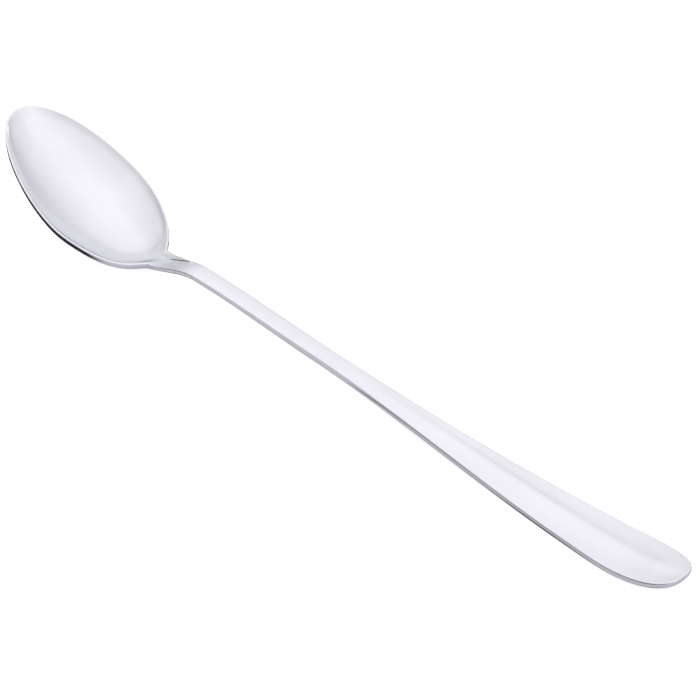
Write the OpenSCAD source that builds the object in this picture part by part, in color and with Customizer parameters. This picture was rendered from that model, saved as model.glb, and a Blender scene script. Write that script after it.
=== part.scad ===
// Iced tea spoon: one stamped piece of stainless steel, lying on a table with its bowl open upward.
// X runs from the bowl to the handle end, Y across, Z up. The origin is on the table under the middle of the box.

/* [Overall] */
// Length from the tip of the bowl to the end of the handle
spoon_len = 200; // [170:1:240]

/* [Bowl] */
// Widest width of the bowl
bowl_w = 27.9; // [24:0.1:34]
// From the bowl tip back to the widest place
bowl_front = 25; // [21:0.1:29]
// From the widest place back to where the egg of the bowl closes
bowl_back = 20.1; // [17:0.1:24]
// Depth of the hollow below the roll of its rim at the deepest place
bowl_depth = 5.65; // [5:0.05:6.5]
// From the bowl tip back to the deepest place
deep_at = 31; // [28:0.5:33]
// Depth of the hollow where its front wall levels out
front_depth = 4.75; // [4:0.05:5.5]
// From the bowl tip back to that place
front_at = 14; // [12:0.5:18]
// Thickness of the metal at the floor of the bowl, with the roll of the rim
floor_t = 1.55; // [1.3:0.05:1.8]
// Thickness of the edge of the rim
rim_t = 1.35; // [0.9:0.05:1.5]
// Width of the narrow flat on top of the rim
rim_land = 0.45; // [0.4:0.05:0.8]
// Radius on the edges of the rim
rim_r = 0.25; // [0.15:0.05:0.4]
// How far the inner wall drops in the roll just inside the rim
rim_roll = 0.25; // [0.1:0.05:0.4]
// Width of that roll
roll_w = 1.3; // [0.8:0.1:2]
// How far the hollow runs into the neck past the egg of the bowl
beak_run = 3.4; // [2:0.1:4.5]
// How far the corners of that end of the hollow are drawn back
beak_round = 1.6; // [1:0.1:3]

/* [Neck and handle] */
// Width of the neck and the slim part of the handle
neck_w = 4.7; // [4:0.1:6]
// Width of the neck where it leaves the bowl
heel_w = 6.8; // [4.8:0.1:8]
// Length of the soft corner between bowl and neck, measured across
neck_blend = 2.2; // [1:0.1:3]
// From the bowl tip to where the handle starts to widen
flare_at = 95.5; // [88:0.5:105]
// Width of the handle where its round end starts
handle_w = 14.1; // [11:0.1:18]
// Length of the round end of the handle
end_len = 15.8; // [10:0.2:18]
// Thickness of the side of the neck
neck_t = 1.2; // [0.9:0.05:1.6]
// Thickness of the side of the slim part of the handle
stem_t = 1.6; // [1.2:0.05:2]
// Thickness of the side of the wide part of the handle
handle_t = 1.55; // [1.2:0.05:2]
// How far the underside of the neck bulges below its sides
neck_belly = 0.9; // [0.6:0.1:1.6]
// Height of the crown on top of the slim part of the handle
stem_crown = 0.35; // [0.2:0.05:0.8]
// Height of the raised middle of the neck where it starts, between flat shoulders
spine_h = 0.4; // [0.1:0.05:0.6]
// Half width of that middle where it starts
spine_w = 1.2; // [0.8:0.1:2]
// Height of the ridge along the wide part of the handle
ridge_h = 0.85; // [0.6:0.05:1.6]
// Half width of the soft crest of the ridge
crest_w = 0.9; // [0.3:0.1:1.2]
// From the handle end to where the ridge dies away
ridge_fade = 8; // [5:0.5:16]
// Radius on the edges of the handle
edge_r = 0.4; // [0.2:0.05:0.6]

/* [Side view] */
// Height of the rim at the bowl tip
tip_h = 22.9; // [17:0.1:26]
// Height of the rim at its middle
rim_h = 8.65; // [7.5:0.05:10]
// From the bowl tip to that middle
rim_at = 30; // [26:0.5:33]
// Height of the low place where the rim meets the neck
heel_h = 4.25; // [3.6:0.05:5]
// From the bowl tip to that low place
heel_at = 44; // [43:0.5:47]
// Height of the top of the neck
neck_h = 7.5; // [6:0.05:9]
// From the bowl tip to the top of the neck
neck_at = 58.5; // [56:0.5:64]
// Height of the handle where it starts down to the table
stem_h = 5.6; // [4.8:0.1:7]
// From the bowl tip to that place
stem_at = 95; // [85:1:105]
// From the handle end to where the handle starts to lie on the table
rest_back = 30; // [27:0.5:34]
// Length of the handle that lies flat on the table
rest_len = 7; // [6:0.5:9]
// How far the end of the handle lifts off the table
end_lift = 3.1; // [1:0.1:4]

/* [Hidden] */

steel = [0.83, 0.83, 0.85];

// Roundness of the outline: 2 is an ellipse, more is squarer
front_power_share = 1.91;
back_power_share = 1.81;
end_power_share = 2.68;
// Fullness of the bowl across: 2 is a plain curve, more has steeper walls
bowl_power_share = 1.8;
// Slopes of the hollow below its rim, as rise over run
tip_wall_share = 0.85;
front_slope_share = 0.08;
// Slopes of the side view, as rise over run
tip_slope_share = -0.45;
rim_slope_share = -0.337;
stem_slope_share = -0.051;
end_slope_share = 0.27;
// Slope of the widening handle at its round end
flare_slope_share = 0.05;
// How fast the neck slims down from the bowl: 1 is a plain taper
slim_share = 2.4;
// How hollow the flanks of the ridge are: 1 is a plain roof
flank_share = 3.4;
// Height of the raised middle at the top of the neck, as a share of its height where it starts
spine_end_share = 0.5;
// Most of a wall's thickness that the radius of one edge may take
edge_share = 0.45;
// Least part of a half width given to the columns of points inside the rim
inner_share = 0.5;

egg_end = bowl_front + bowl_back;
hollow_end = egg_end + beak_run;
neck_mid_t = neck_t + neck_belly;
end_at = spoon_len - end_len;
rest_at = spoon_len - rest_back;
rest_end = rest_at + rest_len;
ridge_end = spoon_len - ridge_fade;
// Step for the slope of the outline
probe = spoon_len / 20000;

front_n = 24;
back_n = 20;
neck_n = 16;
stem_n = 30;
end_n = 16;
inner_n = 8;
land_n = 4;
half_n = inner_n + land_n;
row_n = 2 * half_n + 1;

function clamp01(t) = min(max(t, 0), 1);
function ease(t) = let (c = clamp01(t)) c * c * (3 - 2 * c);
function mix(a, b, t) = a + (b - a) * t;
function soft_max(a, b, k) = let (h = max(k - abs(a - b), 0) / k) max(a, b) + h * h * k / 4;
function super_arc(t, p) = pow(max(1 - pow(clamp01(t), p), 0), 1 / p);

// Smooth curve between two places [along, height, slope]
function between(s, a, b) =
    let (run = b[0] - a[0], t = clamp01((s - a[0]) / run), u = 1 - t)
    a[1] * u * u * (1 + 2 * t) + b[1] * t * t * (3 - 2 * t)
    + run * t * u * (a[2] * u - b[2] * t);
// Smooth curve through all places of a line
function follow(line, s, i = 0) =
    i == len(line) - 2 || s <= line[i + 1][0]
    ? between(s, line[i], line[i + 1])
    : follow(line, s, i + 1);

// The side view of the top edge, before the spoon settles on the table
SIDE = [
    [0, tip_h, tip_slope_share],
    [rim_at, rim_h, rim_slope_share],
    [heel_at, heel_h, 0],
    [neck_at, neck_h, 0],
    [stem_at, stem_h, stem_slope_share],
    [rest_at, handle_t, 0],
    [rest_end, handle_t, 0],
    [spoon_len, handle_t + end_lift, end_slope_share],
];
function side(s) = follow(SIDE, s);

// Half width of the plan
function egg(s) =
    s < bowl_front
    ? bowl_w / 2 * super_arc((bowl_front - s) / bowl_front, front_power_share)
    : bowl_w / 2 * super_arc((s - bowl_front) / bowl_back, back_power_share);
function bar(s) =
    let (slim = pow(clamp01((neck_at - s) / (neck_at - egg_end)), slim_share))
    (between(s, [flare_at, neck_w / 2, 0], [end_at, handle_w / 2, flare_slope_share])
    + slim * (heel_w - neck_w) / 2) * super_arc((s - end_at) / end_len, end_power_share);
function half_w(s) =
    s < bowl_front ? egg(s) : soft_max(egg(s), bar(s), neck_blend);
function half_slope(s) =
    let (a = max(s - probe, 0), b = min(s + probe, spoon_len))
    (half_w(b) - half_w(a)) / (b - a);
// Length of the edge for a unit of length along the spoon
function edge_run(s) = sqrt(1 + pow(half_slope(s), 2));

// Half width inside the flat of the rim
function inner_w(s) = half_w(s) - rim_land * edge_run(s);

// Thickness of the side, from the rim along the neck and stem to the handle
function side_t(s) =
    s < neck_at ? mix(rim_t, neck_t, ease((s - bowl_front) / (neck_at - bowl_front)))
    : s < flare_at ? mix(neck_t, stem_t, ease((s - neck_at) / (flare_at - neck_at)))
    : mix(stem_t, handle_t, ease((s - flare_at) / (rest_at - flare_at)));
function round_r(s) =
    min(mix(rim_r, edge_r, ease((s - bowl_front) / (neck_at - bowl_front))), edge_share * side_t(s));

// Drop of a rounded edge at a place y off the middle line
function edge_drop(s, y) =
    let (
        w = half_w(s), r = round_r(s),
        d = (w * w - y * y) / (2 * w * edge_run(s))
    )
    d >= r ? 0 : r - sqrt(max(r * r - pow(r - d, 2), 0));

// Depth of the bowl along its middle line, from a front wall that starts at tip
function depth_at(s, tip) =
    follow([
        [tip, 0, tip_wall_share],
        [front_at, front_depth, front_slope_share],
        [deep_at, bowl_depth, 0],
        [hollow_end, 0, 0],
    ], s);

// Hollow of the bowl, with its end in the neck rounded to a beak
function hollow(s, y) =
    let (w = inner_w(s), back = beak_round * ease((s - bowl_front) / (egg_end - bowl_front)))
    w <= 0 || abs(y) >= w ? 0
    : let (
        depth = depth_at(s + back * pow(y / w, 2), rim_land),
        roll = 1 - pow(1 - clamp01((w - abs(y)) / (roll_w * edge_run(s))), 2)
    )
    depth * (1 - pow(abs(y) / w, bowl_power_share)) + rim_roll * roll * ease(depth / floor_t);

// Crown of the slim part of the handle, turning into the ridge of its wide part
function ridge(s, y) =
    let (
        w = half_w(s), v = clamp01(abs(y) / w), crest = crest_w / w,
        roof = (sqrt(1 + crest * crest) - sqrt(v * v + crest * crest)) / (sqrt(1 + crest * crest) - crest),
        start = ease((s - heel_at) / (flare_at - heel_at)),
        sharp = ease((s - flare_at) / (rest_at - flare_at)),
        stop = 1 - ease((s - ridge_end) / ridge_fade)
    )
    start * stop * mix(stem_crown * (1 - v * v), ridge_h * pow(roof, flank_share), sharp);

// Raised middle of the neck, which ends at the slim width and leaves the shoulders beside it flat
function spine(s, y) =
    let (
        out = 1 - pow(1 - clamp01((s - hollow_end) / (neck_at - hollow_end)), 2),
        u = clamp01(abs(y) / mix(spine_w, neck_w / 2, out)),
        start = ease((s - (egg_end + hollow_end) / 2) / beak_run),
        stop = 1 - ease((s - neck_at) / (flare_at - neck_at))
    )
    spine_h * mix(1, spine_end_share, out) * start * stop * pow(1 - pow(u, 3), 2);

// Thickness along the middle line, the crown, ridge and spine left out
function middle_t(s) =
    s < neck_at
    ? mix(floor_t, neck_mid_t, ease((s - deep_at) / (neck_at - deep_at)))
    : mix(neck_mid_t, side_t(s), ease((s - neck_at) / (flare_at - neck_at)));
// How far the underside bulges below its edges
function belly(s, v) =
    depth_at(s, 0) * (1 - pow(v, bowl_power_share)) + (middle_t(s) - side_t(s)) * (1 - v * v);

function top_z(s, y) = side(s) + ridge(s, y) + spine(s, y) - hollow(s, y) - edge_drop(s, y);
function under_z(s, y) = side(s) - side_t(s) - belly(s, clamp01(abs(y) / half_w(s))) + edge_drop(s, y);

// Places along the spoon, closer together where the outline turns
ALONG = [
    for (i = [1:front_n]) bowl_front * (1 - cos(90 * i / front_n)),
    for (i = [1:back_n]) bowl_front + bowl_back * sin(90 * i / back_n),
    for (i = [1:neck_n]) mix(egg_end, neck_at, i / neck_n),
    for (i = [1:stem_n]) mix(neck_at, end_at, i / stem_n),
    for (i = [1:end_n - 1]) end_at + end_len * sin(90 * i / end_n),
];
// Places across, from one edge to the other
function across(s, j) =
    let (
        k = abs(j - half_n), w = half_w(s), inner = max(inner_w(s), inner_share * w),
        y = k <= inner_n ? inner * sin(90 * k / inner_n) : mix(inner, w, sin(90 * (k - inner_n) / land_n))
    )
    j < half_n ? -y : y;

// Slope that brings the underside of the bowl just onto the table
settle_slope = max([for (s = ALONG) if (s <= egg_end) -under_z(s, 0) / (rest_at - s)]);
function settle(s) = settle_slope * max(rest_at - s, 0);

tip_mid = side(0) + settle(0);
end_mid = side(spoon_len);
POINTS = [
    [0, 0, tip_mid - round_r(0)],
    [0, 0, tip_mid - side_t(0) + round_r(0)],
    for (s = ALONG) each [
        for (j = [0:row_n - 1]) let (y = across(s, j)) [s, y, top_z(s, y) + settle(s)],
        for (j = [0:row_n - 1]) let (y = across(s, j)) [s, y, under_z(s, y) + settle(s)],
    ],
    [spoon_len, 0, end_mid - round_r(spoon_len)],
    [spoon_len, 0, end_mid - side_t(spoon_len) + round_r(spoon_len)],
];
last = len(ALONG) - 1;
after = 2 + len(ALONG) * 2 * row_n;
function up(i, j) = 2 + i * 2 * row_n + j;
function dn(i, j) = up(i, j) + row_n;
// A four-cornered patch as two triangles, cut alike on both sides of the middle line
function patch(a, b, c, d, flip) = flip ? [[a, b, c], [a, c, d]] : [[a, b, d], [b, c, d]];

FACES = [
    for (j = [0:row_n - 2]) each [
        [0, up(0, j + 1), up(0, j)],
        [1, dn(0, j), dn(0, j + 1)],
        [after, up(last, j), up(last, j + 1)],
        [after + 1, dn(last, j + 1), dn(last, j)],
    ],
    [0, dn(0, 0), 1],
    [0, up(0, 0), dn(0, 0)],
    [1, up(0, row_n - 1), 0],
    [1, dn(0, row_n - 1), up(0, row_n - 1)],
    [after + 1, up(last, 0), after],
    [after + 1, dn(last, 0), up(last, 0)],
    [after, dn(last, row_n - 1), after + 1],
    [after, up(last, row_n - 1), dn(last, row_n - 1)],
    for (i = [0:last - 1]) each [
        for (j = [0:row_n - 2]) each concat(
            patch(up(i, j), up(i, j + 1), up(i + 1, j + 1), up(i + 1, j), j >= half_n),
            patch(dn(i, j), dn(i + 1, j), dn(i + 1, j + 1), dn(i, j + 1), j >= half_n)
        ),
        each patch(up(i, 0), up(i + 1, 0), dn(i + 1, 0), dn(i, 0), true),
        each patch(up(i, row_n - 1), dn(i, row_n - 1), dn(i + 1, row_n - 1), up(i + 1, row_n - 1), true),
    ],
];

module spoon() {
    color(steel)
        translate([-spoon_len / 2, 0, 0])
            polyhedron(points = POINTS, faces = FACES, convexity = 6);
}

spoon();
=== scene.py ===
"""Looks of the iced tea spoon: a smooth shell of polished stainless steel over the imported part.

It lies on a pale floor in a white tent. Shapes are worked out in millimetres from the bowl tip, as in the
part, and become metres when the mesh is made.
"""

import math

import bmesh
import bpy
import numpy as np
from mathutils import Matrix, Vector


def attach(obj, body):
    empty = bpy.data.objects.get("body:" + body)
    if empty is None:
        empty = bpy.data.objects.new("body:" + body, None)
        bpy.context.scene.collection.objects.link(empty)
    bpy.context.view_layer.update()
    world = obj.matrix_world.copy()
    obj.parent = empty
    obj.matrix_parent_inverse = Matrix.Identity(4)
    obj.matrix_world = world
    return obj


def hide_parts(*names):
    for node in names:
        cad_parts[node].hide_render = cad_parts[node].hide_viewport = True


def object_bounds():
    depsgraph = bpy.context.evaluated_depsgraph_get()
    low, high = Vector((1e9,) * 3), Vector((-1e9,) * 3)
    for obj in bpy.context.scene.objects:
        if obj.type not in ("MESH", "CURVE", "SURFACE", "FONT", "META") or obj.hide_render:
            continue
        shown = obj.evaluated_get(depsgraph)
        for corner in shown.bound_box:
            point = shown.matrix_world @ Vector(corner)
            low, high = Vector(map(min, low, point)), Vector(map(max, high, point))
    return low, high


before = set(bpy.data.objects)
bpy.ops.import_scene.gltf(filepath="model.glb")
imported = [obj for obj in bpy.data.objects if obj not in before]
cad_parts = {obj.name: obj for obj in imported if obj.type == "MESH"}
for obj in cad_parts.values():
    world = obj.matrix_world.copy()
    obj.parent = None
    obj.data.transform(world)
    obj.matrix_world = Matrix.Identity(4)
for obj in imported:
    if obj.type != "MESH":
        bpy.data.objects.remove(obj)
cad_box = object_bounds()

MM = 0.001
SPOON_LEN = (cad_box[1].x - cad_box[0].x) / MM
BOWL_W = (cad_box[1].y - cad_box[0].y) / MM
SPOON_HEIGHT = (cad_box[1].z - cad_box[0].z) / MM

# Bowl, in millimetres; the front wall of its hollow runs down to FRONT_AT, and the deepest place is behind it
BOWL_FRONT = 25.0
BOWL_BACK = 20.1
FRONT_POWER = 1.91
BACK_POWER = 1.81
BOWL_DEPTH = 5.65
DEEP_AT = 31.0
FRONT_DEPTH = 4.75
FRONT_AT = 14.0
FRONT_SLOPE = 0.08
TIP_WALL = 0.85
BOWL_POWER = 1.8
FLOOR_T = 1.55
RIM_T = 1.35
RIM_LAND = 0.45
RIM_R = 0.25
RIM_ROLL = 0.25
ROLL_W = 1.3
BEAK_RUN = 3.4
BEAK_ROUND = 1.6
EGG_END = BOWL_FRONT + BOWL_BACK
HOLLOW_END = EGG_END + BEAK_RUN

# Neck and handle
NECK_W = 4.7
HEEL_W = 6.8
SLIM_POWER = 2.4
NECK_BLEND = 2.2
NECK_T = 1.2
NECK_BELLY = 0.9
STEM_T = 1.6
STEM_CROWN = 0.35
SPINE_H = 0.4
SPINE_W = 1.2
SPINE_END = 0.5
FLARE_AT = 95.5
FLARE_SLOPE = 0.05
HANDLE_W = 14.1
HANDLE_T = 1.55
END_LEN = 15.8
END_POWER = 2.68
RIDGE_H = 0.85
CREST_W = 0.9
RIDGE_FADE = 8.0
FLANK_POWER = 3.4
EDGE_R = 0.4
EDGE_SHARE = 0.45
END_AT = SPOON_LEN - END_LEN
RIDGE_END = SPOON_LEN - RIDGE_FADE

# Side view of the top edge: place along the spoon, height and slope
HEEL_AT = 44.0
NECK_AT = 58.5
STEM_AT = 95.0
REST_AT = SPOON_LEN - 30.0
REST_LEN = 7.0
END_LIFT = 3.1
SIDE = (
    (0.0, 22.9, -0.45),
    (30.0, 8.65, -0.337),
    (HEEL_AT, 4.25, 0.0),
    (NECK_AT, 7.5, 0.0),
    (STEM_AT, 5.6, -0.051),
    (REST_AT, HANDLE_T, 0.0),
    (REST_AT + REST_LEN, HANDLE_T, 0.0),
    (SPOON_LEN, HANDLE_T + END_LIFT, 0.27),
)

# Mesh rows along each stretch, and columns from the middle line to the rim and over it
FRONT_ROWS = 110
BACK_ROWS = 90
NECK_ROWS = 60
STEM_ROWS = 150
END_ROWS = 70
INNER_COLUMNS = 30
LAND_COLUMNS = 9
INNER_SHARE = 0.5
PROBE = 0.01
WELD = 1e-7

# The camera, as the photograph's outline gives it
CAMERA_AZIMUTH = math.radians(43.005)
CAMERA_ELEVATION = math.radians(40.386)
CAMERA_DISTANCE = 1101.289
CAMERA_TARGET = (-4.590, 9.466, 0.0)
CAMERA_SCALE = 4.506
PICTURE_SIZE = 700
SENSOR = 36.0

# Steel: colours of the dull and the clear parts of its haze, waves per millimetre along, across and up
STEEL_DULL = (0.785, 0.785, 0.81, 1)
STEEL_CLEAR = (0.815, 0.815, 0.84, 1)
ROUGH = 0.14
HAZE_WAVES = (0.05, 0.12, 0.12)
HAZE_DETAIL = 3.0
HAZE_ENDS = (0.35, 0.65)
HAZE_ROUGH = 0.03
LINE_WAVES = (0.06, 5.0, 5.0)
LINE_DETAIL = 4.0
LINE_ROUGH = 0.04
LINE_DEPTH = 0.0008
SCRATCH_WAVES = (0.09, 1.7, 1.7)
SCRATCH_DETAIL = 1.0
SCRATCH_ENDS = (0.74, 0.77)
SCRATCH_ROUGH = 0.06

# Floor: its colour, and the strength that makes it show as white
FLOOR_SIZE = 3.0
FLOOR_DROP = 0.0001
FLOOR_COLOUR = (0.71, 0.7, 0.75, 1)
FLOOR_LIFT = 0.78
WHITE = (1, 1, 1, 1)
# Colour of the painted dark reflections and painted shadow that the steel mirrors in the floor
PAINTED_DARK_COLOUR = (0.03, 0.03, 0.045, 1)

# Dark patches painted on the floor that only the steel's mirrored rays see: painted dark reflections round the
# bowl and along the handle, and a painted shadow under the spoon. Where each begins and is full, or is full
# and ends.
# In millimetres along the spoon from its middle or across it, or out from its near edge for NEAR and UNDER.
PAINTED_DARK_LEFT = (-109.0, -104.0)
PAINTED_DARK_FRONT = (-16.0, -11.0)
PAINTED_DARK_GAP = (-66.0, -58.0)
PAINTED_DARK_HANDLE = (0.0, 10.0)
PAINTED_DARK_NEAR = (2.5, 4.5)
PAINTED_DARK_UNDER = (-0.5, 0.6)
PAINTED_DARK_FAR = (11.0, 14.0)
PAINTED_DARK_BEHIND = (14.0, 16.0)
PAINTED_DARK_END = (96.0, 100.0)
# The painted dark patches fade out across the spoon, and from there on and past the ends of the sheet the
# steel mirrors white
PAINTED_DARK_FADE = (60.0, 120.0)
SHEET_FADE = (160.0, 220.0)

# Tent: colours where it is bright and dim, strength overhead, loss lower down and gains along and across
TENT_COLOUR = (1, 1, 1.025, 1)
TENT_DIM = (1.02, 1, 1.13, 1)
TENT_TOP = 1.136
TENT_DROP = 0.013
TENT_ALONG = 0.028
TENT_ACROSS = -0.098
# Dim sides of the tent: direction in degrees, where they start and are full, darkness, top and falloff
DIM_SIDES = (
    (265.5, -0.29, 1.16, 0.82, 1.0, 0.63),
    (188.4, 0.52, 1.08, 0.93, 0.79, 1.4),
    (60.9, 0.5, 0.67, 0.33, 0.78, 1.7),
    (114.8, 0.66, 0.86, 0.13, 0.51, 1.36),
    (159.0, 0.73, 1.0, 0.13, 0.74, 1.2),
)
# Smallest level part of a direction, for rays that go straight up
LEVEL = 0.001


def ease(t):
    c = np.clip(t, 0.0, 1.0)
    return c * c * (3 - 2 * c)


def mix(a, b, t):
    return a + (b - a) * t


def soft_max(a, b, k):
    h = np.maximum(k - np.abs(a - b), 0) / k
    return np.maximum(a, b) + h * h * k / 4


def super_arc(t, p):
    return np.maximum(1 - np.clip(t, 0, 1) ** p, 0) ** (1 / p)


def between(s, a, b):
    """Smooth curve between two places, each a tuple of place, height and slope."""
    run = b[0] - a[0]
    t = np.clip((s - a[0]) / run, 0, 1)
    u = 1 - t
    return a[1] * u * u * (1 + 2 * t) + b[1] * t * t * (3 - 2 * t) + run * t * u * (a[2] * u - b[2] * t)


def follow(line, s):
    """Smooth curve through all places of a line."""
    z = between(s, line[0], line[1])
    for a, b in zip(line[1:], line[2:]):
        z = np.where(s > a[0], between(s, a, b), z)
    return z


def side(s):
    return follow(SIDE, s)


def egg(s):
    front = super_arc((BOWL_FRONT - s) / BOWL_FRONT, FRONT_POWER)
    back = super_arc((s - BOWL_FRONT) / BOWL_BACK, BACK_POWER)
    return BOWL_W / 2 * np.where(s < BOWL_FRONT, front, back)


def bar(s):
    width = between(s, (FLARE_AT, NECK_W / 2, 0.0), (END_AT, HANDLE_W / 2, FLARE_SLOPE))
    slim = np.clip((NECK_AT - s) / (NECK_AT - EGG_END), 0, 1) ** SLIM_POWER
    return (width + slim * (HEEL_W - NECK_W) / 2) * super_arc((s - END_AT) / END_LEN, END_POWER)


def half_width(s):
    return np.where(s < BOWL_FRONT, egg(s), soft_max(egg(s), bar(s), NECK_BLEND))


def edge_run(s):
    """Length of the edge for a unit of length along the spoon."""
    a = np.maximum(s - PROBE, 0)
    b = np.minimum(s + PROBE, SPOON_LEN)
    return np.sqrt(1 + ((half_width(b) - half_width(a)) / (b - a)) ** 2)


def inner_width(s):
    return half_width(s) - RIM_LAND * edge_run(s)


def side_thickness(s):
    bowl = mix(RIM_T, NECK_T, ease((s - BOWL_FRONT) / (NECK_AT - BOWL_FRONT)))
    stem = mix(NECK_T, STEM_T, ease((s - NECK_AT) / (FLARE_AT - NECK_AT)))
    wide = mix(STEM_T, HANDLE_T, ease((s - FLARE_AT) / (REST_AT - FLARE_AT)))
    return np.where(s < NECK_AT, bowl, np.where(s < FLARE_AT, stem, wide))


def edge_radius(s):
    radius = mix(RIM_R, EDGE_R, ease((s - BOWL_FRONT) / (NECK_AT - BOWL_FRONT)))
    return np.minimum(radius, EDGE_SHARE * side_thickness(s))


def edge_drop(s, y):
    w = half_width(s)
    r = edge_radius(s)
    d = (w * w - y * y) / (2 * w * edge_run(s))
    return np.where(d >= r, 0, r - np.sqrt(np.maximum(r * r - (r - d) ** 2, 0)))


def depth_along(s, tip):
    """Depth of the bowl along its middle line, from a front wall that starts at tip."""
    wall = (tip, 0.0, TIP_WALL)
    front = (FRONT_AT, FRONT_DEPTH, FRONT_SLOPE)
    return follow((wall, front, (DEEP_AT, BOWL_DEPTH, 0.0), (HOLLOW_END, 0.0, 0.0)), s)


def hollow(s, y):
    w = inner_width(s)
    v = np.clip(np.abs(y) / np.maximum(w, PROBE), 0, 1)
    back = BEAK_ROUND * ease((s - BOWL_FRONT) / (EGG_END - BOWL_FRONT))
    depth = depth_along(s + back * v * v, RIM_LAND)
    roll = 1 - (1 - np.clip((w - np.abs(y)) / (ROLL_W * edge_run(s)), 0, 1)) ** 2
    drop = depth * (1 - v**BOWL_POWER) + RIM_ROLL * roll * ease(depth / FLOOR_T)
    return np.where((w > 0) & (v < 1), drop, 0)


def ridge(s, y):
    w = half_width(s)
    v = np.clip(np.abs(y) / w, 0, 1)
    crest = CREST_W / w
    edge = np.sqrt(1 + crest * crest)
    roof = (edge - np.sqrt(v * v + crest * crest)) / (edge - crest)
    start = ease((s - HEEL_AT) / (FLARE_AT - HEEL_AT))
    sharp = ease((s - FLARE_AT) / (REST_AT - FLARE_AT))
    stop = 1 - ease((s - RIDGE_END) / RIDGE_FADE)
    return start * stop * mix(STEM_CROWN * (1 - v * v), RIDGE_H * roof**FLANK_POWER, sharp)


def spine(s, y):
    """Raised middle of the neck, which ends at the slim width and leaves the shoulders beside it flat."""
    out = 1 - (1 - np.clip((s - HOLLOW_END) / (NECK_AT - HOLLOW_END), 0, 1)) ** 2
    u = np.clip(np.abs(y) / mix(SPINE_W, NECK_W / 2, out), 0, 1)
    start = ease((s - (EGG_END + HOLLOW_END) / 2) / BEAK_RUN)
    stop = 1 - ease((s - NECK_AT) / (FLARE_AT - NECK_AT))
    return SPINE_H * mix(1, SPINE_END, out) * start * stop * (1 - u**3) ** 2


def middle_thickness(s):
    """Thickness along the middle line, the crown, ridge and spine left out."""
    neck = NECK_T + NECK_BELLY
    bowl = mix(FLOOR_T, neck, ease((s - DEEP_AT) / (NECK_AT - DEEP_AT)))
    stem = mix(neck, side_thickness(s), ease((s - NECK_AT) / (FLARE_AT - NECK_AT)))
    return np.where(s < NECK_AT, bowl, stem)


def belly(s, v):
    """How far the underside bulges below its edges."""
    return depth_along(s, 0.0) * (1 - v**BOWL_POWER) + (middle_thickness(s) - side_thickness(s)) * (1 - v * v)


def top_height(s, y):
    return side(s) + ridge(s, y) + spine(s, y) - hollow(s, y) - edge_drop(s, y)


def under_height(s, y):
    v = np.clip(np.abs(y) / half_width(s), 0, 1)
    return side(s) - side_thickness(s) - belly(s, v) + edge_drop(s, y)


def rows_along():
    """Places along the spoon, closer together where its outline turns."""
    def quarter(count):
        return np.arange(1, count + 1) / count * math.pi / 2

    return np.concatenate([
        BOWL_FRONT * (1 - np.cos(quarter(FRONT_ROWS))),
        BOWL_FRONT + BOWL_BACK * np.sin(quarter(BACK_ROWS)),
        np.linspace(EGG_END, NECK_AT, NECK_ROWS + 1)[1:],
        np.linspace(NECK_AT, END_AT, STEM_ROWS + 1)[1:],
        END_AT + END_LEN * np.sin(quarter(END_ROWS))[:-1],
    ])


def columns_across(s):
    """Places across from one edge to the other, one row of them for each place in s."""
    w = half_width(s)[:, None]
    inner = np.maximum(inner_width(s)[:, None], INNER_SHARE * w)
    k = np.arange(INNER_COLUMNS + LAND_COLUMNS + 1)[None, :]
    floor = inner * np.sin(math.pi / 2 * np.minimum(k / INNER_COLUMNS, 1))
    land = mix(inner, w, np.sin(math.pi / 2 * np.maximum((k - INNER_COLUMNS) / LAND_COLUMNS, 0)))
    y = np.where(k <= INNER_COLUMNS, floor, land)
    return np.concatenate([-y[:, :0:-1], y], axis=1)


def spoon_points():
    """Corner points in metres, top and under surface row by row, then the two ends, and the grid's size."""
    s = rows_along()
    y = columns_across(s)
    rows, columns = y.shape
    middle = np.zeros(rows)
    in_bowl = s <= EGG_END
    slope = (-under_height(s, middle) / (REST_AT - s))[in_bowl].max()
    long = np.repeat(s[:, None], columns, axis=1)
    settle = slope * np.maximum(REST_AT - long, 0)
    top = np.stack([long, y, top_height(long, y) + settle], axis=-1)
    under = np.stack([long, y, under_height(long, y) + settle], axis=-1)
    tip = (0, 0, SIDE[0][1] - RIM_R + slope * REST_AT)
    tip_low = (0, 0, SIDE[0][1] - RIM_T + RIM_R + slope * REST_AT)
    end = (SPOON_LEN, 0, SIDE[-1][1] - EDGE_R)
    end_low = (SPOON_LEN, 0, SIDE[-1][1] - HANDLE_T + EDGE_R)
    points = np.concatenate([top.reshape(-1, 3), under.reshape(-1, 3), [tip, tip_low, end, end_low]])
    points[:, 0] -= SPOON_LEN / 2
    points[:, 2] *= SPOON_HEIGHT / points[:, 2].max()
    return points * MM, rows, columns


def spoon_faces(rows, columns):
    size = rows * columns
    index = np.arange(size).reshape(rows, columns)
    a, b = index[:-1, :-1], index[:-1, 1:]
    c, d = index[1:, 1:], index[1:, :-1]
    top = np.stack([a, d, c, b], axis=-1).reshape(-1, 4)
    under = np.stack([a, b, c, d], axis=-1).reshape(-1, 4) + size
    faces = top.tolist() + under.tolist()
    for column, turn in ((0, False), (columns - 1, True)):
        edge = index[:, column]
        wall = np.stack([edge[:-1], edge[:-1] + size, edge[1:] + size, edge[1:]], axis=-1)
        faces += (wall[:, ::-1] if turn else wall).tolist()
    tip, tip_low, end, end_low = range(2 * size, 2 * size + 4)
    first, last = index[0], index[-1]
    for j in range(columns - 1):
        faces.append((tip, first[j], first[j + 1]))
        faces.append((tip_low, first[j + 1] + size, first[j] + size))
        faces.append((end, last[j + 1], last[j]))
        faces.append((end_low, last[j] + size, last[j + 1] + size))
    faces.append((tip, tip_low, first[0] + size, first[0]))
    faces.append((tip, first[-1], first[-1] + size, tip_low))
    faces.append((end, last[0], last[0] + size, end_low))
    faces.append((end, end_low, last[-1] + size, last[-1]))
    return [[int(i) for i in face] for face in faces]


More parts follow.
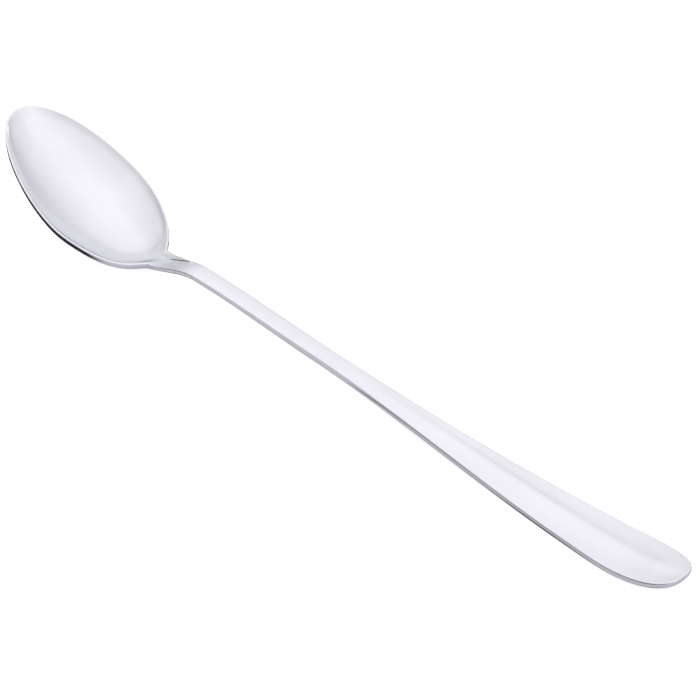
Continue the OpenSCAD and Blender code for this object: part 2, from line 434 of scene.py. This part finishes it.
def make_spoon():
    points, rows, columns = spoon_points()
    mesh = bpy.data.meshes.new("spoon_shell")
    mesh.from_pydata(points.tolist(), [], spoon_faces(rows, columns))
    bm = bmesh.new()
    bm.from_mesh(mesh)
    bmesh.ops.remove_doubles(bm, verts=bm.verts, dist=WELD)
    bmesh.ops.dissolve_degenerate(bm, edges=bm.edges, dist=WELD)
    bmesh.ops.recalc_face_normals(bm, faces=bm.faces)
    for face in bm.faces:
        face.smooth = True
    bm.to_mesh(mesh)
    bm.free()
    obj = bpy.data.objects.new("spoon_shell", mesh)
    bpy.context.scene.collection.objects.link(obj)
    return obj


def add_node(tree, kind, inputs=None, **settings):
    """A node with its own settings, and inputs that are values or sockets of other nodes."""
    made = tree.nodes.new(kind)
    for name, value in settings.items():
        setattr(made, name, value)
    for name, value in (inputs or {}).items():
        if isinstance(value, bpy.types.NodeSocket):
            tree.links.new(value, made.inputs[name])
        else:
            made.inputs[name].default_value = value
    return made


def calc(tree, operation, a, b=0.0):
    return add_node(tree, "ShaderNodeMath", {0: a, 1: b}, operation=operation).outputs[0]


def spread(tree, value, low, high, start=0.0, end=1.0):
    """Smooth step of a value: start at low and before it, end at high and after it."""
    inputs = {"Value": value, "From Min": low, "From Max": high, "To Min": start, "To Max": end}
    return add_node(tree, "ShaderNodeMapRange", inputs, interpolation_type="SMOOTHSTEP").outputs["Result"]


def noise(tree, place, scale, detail):
    """Noise over object coordinates; scale is in waves per millimetre along the spoon, across it and up."""
    stretch = add_node(tree, "ShaderNodeMapping", {"Vector": place, "Scale": [v / MM for v in scale]})
    inputs = {"Vector": stretch.outputs["Vector"], "Scale": 1.0, "Detail": detail}
    return add_node(tree, "ShaderNodeTexNoise", inputs).outputs["Fac"]


def blend(tree, factor, a, b):
    """Colour between a, where factor is 0 or less, and b, where it is 1 or more."""
    made = add_node(tree, "ShaderNodeMix", data_type="RGBA")
    tree.links.new(factor, made.inputs["Factor"])
    colours = [socket for socket in made.inputs if socket.type == "RGBA"]
    colours[0].default_value = a
    colours[1].default_value = b
    return next(socket for socket in made.outputs if socket.type == "RGBA")


def steel_material():
    """Polished stainless steel with a faint haze, fine polishing lines along it and hairline scratches."""
    material = bpy.data.materials.new("steel")
    material.use_nodes = True
    tree = material.node_tree
    shader = tree.nodes["Principled BSDF"]
    place = add_node(tree, "ShaderNodeTexCoord").outputs["Object"]
    haze = spread(tree, noise(tree, place, HAZE_WAVES, HAZE_DETAIL), *HAZE_ENDS)
    lines = noise(tree, place, LINE_WAVES, LINE_DETAIL)
    scratch = spread(tree, noise(tree, place, SCRATCH_WAVES, SCRATCH_DETAIL), *SCRATCH_ENDS)
    tree.links.new(blend(tree, haze, STEEL_DULL, STEEL_CLEAR), shader.inputs["Base Color"])
    rough = calc(tree, "SUBTRACT", ROUGH, calc(tree, "MULTIPLY", haze, HAZE_ROUGH))
    rough = calc(tree, "ADD", rough, calc(tree, "MULTIPLY", lines, LINE_ROUGH))
    rough = calc(tree, "ADD", rough, calc(tree, "MULTIPLY", scratch, SCRATCH_ROUGH))
    tree.links.new(rough, shader.inputs["Roughness"])
    relief = calc(tree, "SUBTRACT", lines, scratch)
    bump = add_node(tree, "ShaderNodeBump", {"Height": relief, "Distance": LINE_DEPTH * MM, "Strength": 1.0})
    tree.links.new(bump.outputs["Normal"], shader.inputs["Normal"])
    shader.inputs["Metallic"].default_value = 1
    return material


def zone(tree, value, ends, start=0.0, end=1.0):
    """Smooth step between two places in millimetres."""
    return spread(tree, value, ends[0] * MM, ends[1] * MM, start, end)


def painted_dark_patches(tree, x, y):
    """How dark the patches painted on the floor are, which only mirrored rays see: painted dark reflections
    round the bowl and along the handle, and a painted shadow under the spoon.
    """
    flare = (FLARE_AT - SPOON_LEN / 2, END_AT - SPOON_LEN / 2)
    half = zone(tree, x, flare, NECK_W / 2 * MM, HANDLE_W / 2 * MM)
    out = calc(tree, "SUBTRACT", calc(tree, "MULTIPLY", y, -1.0), half)
    # Painted dark reflections round the bowl and along the handle
    bowl = calc(tree, "MULTIPLY", zone(tree, y, PAINTED_DARK_FRONT, 1.0, 0.0), zone(tree, x, PAINTED_DARK_GAP, 1.0, 0.0))
    handle = calc(tree, "MULTIPLY", zone(tree, out, PAINTED_DARK_NEAR), zone(tree, x, PAINTED_DARK_HANDLE))
    painted_dark = calc(tree, "MAXIMUM", bowl, handle)
    # Painted shadow on the floor under the spoon, as the steel mirrors it
    under = zone(tree, out, PAINTED_DARK_UNDER, 1.0, 0.0)
    for value, ends in ((y, PAINTED_DARK_FAR), (x, PAINTED_DARK_END)):
        under = calc(tree, "MULTIPLY", under, zone(tree, value, ends, 1.0, 0.0))
    behind = calc(tree, "MULTIPLY", zone(tree, y, PAINTED_DARK_BEHIND), zone(tree, x, PAINTED_DARK_GAP, 1.0, 0.0))
    for other in (under, behind, zone(tree, x, PAINTED_DARK_LEFT, 1.0, 0.0)):
        painted_dark = calc(tree, "MAXIMUM", painted_dark, other)
    far = calc(tree, "ABSOLUTE", y)
    return calc(tree, "MULTIPLY", painted_dark, zone(tree, far, PAINTED_DARK_FADE, 1.0, 0.0))


def floor_material():
    """Pale floor that shows as white except in the soft shadow; the steel mirrors it grey near the spoon, with
    painted dark reflections and a painted shadow under the spoon.
    """
    material = bpy.data.materials.new("floor_pale")
    material.use_nodes = True
    tree = material.node_tree
    tree.nodes.remove(tree.nodes["Principled BSDF"])
    ray = add_node(tree, "ShaderNodeLightPath").outputs
    place = add_node(tree, "ShaderNodeTexCoord").outputs["Object"]
    x, y = add_node(tree, "ShaderNodeSeparateXYZ", {"Vector": place}).outputs[:2]
    # Painted dark reflections and painted shadow: the floor turns dark where the steel mirrors it
    painted_dark = calc(tree, "MULTIPLY", painted_dark_patches(tree, x, y), ray["Is Glossy Ray"])
    pale = add_node(tree, "ShaderNodeBsdfDiffuse", {"Color": blend(tree, painted_dark, FLOOR_COLOUR, PAINTED_DARK_COLOUR)})
    beside = zone(tree, calc(tree, "ABSOLUTE", y), PAINTED_DARK_FADE)
    beyond = zone(tree, calc(tree, "ABSOLUTE", x), SHEET_FADE)
    mirrored = calc(tree, "MULTIPLY", ray["Is Glossy Ray"], calc(tree, "MAXIMUM", beside, beyond))
    seen = calc(tree, "ADD", calc(tree, "ADD", ray["Is Camera Ray"], ray["Is Transmission Ray"]), mirrored)
    lift = calc(tree, "MULTIPLY", seen, FLOOR_LIFT)
    glow = add_node(tree, "ShaderNodeEmission", {"Color": WHITE, "Strength": lift})
    both = add_node(tree, "ShaderNodeAddShader", {0: pale.outputs[0], 1: glow.outputs[0]})
    tree.links.new(both.outputs[0], tree.nodes["Material Output"].inputs["Surface"])
    return material


def make_floor():
    half = FLOOR_SIZE / 2
    corners = [(-half, -half, 0), (half, -half, 0), (half, half, 0), (-half, half, 0)]
    mesh = bpy.data.meshes.new("floor")
    mesh.from_pydata(corners, [], [(0, 1, 2, 3)])
    mesh.materials.append(floor_material())
    floor = bpy.data.objects.new("floor", mesh)
    floor.location.z = -FLOOR_DROP
    bpy.context.scene.collection.objects.link(floor)


def make_camera():
    a, e = CAMERA_AZIMUTH, CAMERA_ELEVATION
    right = Vector((math.cos(a), math.sin(a), 0))
    back = Vector((math.sin(a) * math.cos(e), -math.cos(a) * math.cos(e), math.sin(e)))
    up = back.cross(right)
    data = bpy.data.cameras.new("camera")
    data.sensor_width = SENSOR
    data.lens = CAMERA_SCALE * CAMERA_DISTANCE / PICTURE_SIZE * SENSOR
    camera = bpy.data.objects.new("camera", data)
    place = (Vector(CAMERA_TARGET) + CAMERA_DISTANCE * back) * MM
    turn = Matrix((right, up, back)).transposed().to_4x4()
    camera.matrix_world = Matrix.Translation(place) @ turn
    bpy.context.scene.collection.objects.link(camera)
    bpy.context.scene.camera = camera


def weigh(tree, x, y, z, weights):
    """Sum of the three parts of a direction, each times its weight."""
    total = calc(tree, "MULTIPLY", x, weights[0])
    for value, weight in ((y, weights[1]), (z, weights[2])):
        total = calc(tree, "ADD", total, calc(tree, "MULTIPLY", value, weight))
    return total


def dim_side(tree, x, y, z, level, azimuth, start, full, dark, top, falloff):
    """How much a dim side of the tent takes off its light: most at the horizon, nothing above top."""
    a = math.radians(azimuth)
    across = calc(tree, "DIVIDE", weigh(tree, x, y, z, (math.cos(a), math.sin(a), 0.0)), level)
    height = calc(tree, "MAXIMUM", calc(tree, "SUBTRACT", 1.0, calc(tree, "DIVIDE", z, top)))
    low = calc(tree, "MULTIPLY", calc(tree, "POWER", height, falloff), dark)
    return calc(tree, "MULTIPLY", low, spread(tree, across, start, full))


def make_world():
    """A white tent, brightest overhead, with sides that are dim low down, most of all in front."""
    world = bpy.data.worlds.new("tent")
    world.use_nodes = True
    bpy.context.scene.world = world
    tree = world.node_tree
    way = add_node(tree, "ShaderNodeTexCoord").outputs["Generated"]
    x, y, z = add_node(tree, "ShaderNodeSeparateXYZ", {"Vector": way}).outputs
    z = calc(tree, "MAXIMUM", z)
    level = calc(tree, "SQRT", calc(tree, "SUBTRACT", 1.0, calc(tree, "MULTIPLY", z, z)))
    level = calc(tree, "MAXIMUM", level, LEVEL)
    strength = calc(tree, "ADD", weigh(tree, x, y, z, (TENT_ALONG, TENT_ACROSS, 0.0)), TENT_TOP)
    drop = calc(tree, "MULTIPLY", calc(tree, "SQRT", calc(tree, "SUBTRACT", 1.0, z)), TENT_DROP)
    for loss in [drop] + [dim_side(tree, x, y, z, level, *side) for side in DIM_SIDES]:
        strength = calc(tree, "SUBTRACT", strength, loss)
    background = tree.nodes["Background"]
    tree.links.new(strength, background.inputs["Strength"])
    shade = calc(tree, "SUBTRACT", 1.0, strength)
    tree.links.new(blend(tree, shade, TENT_COLOUR, TENT_DIM), background.inputs["Color"])


spoon = make_spoon()
spoon.data.materials.append(steel_material())
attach(spoon, "root")
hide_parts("spoon")

make_floor()
make_world()
make_camera()
bpy.context.scene.view_settings.view_transform = "Standard"
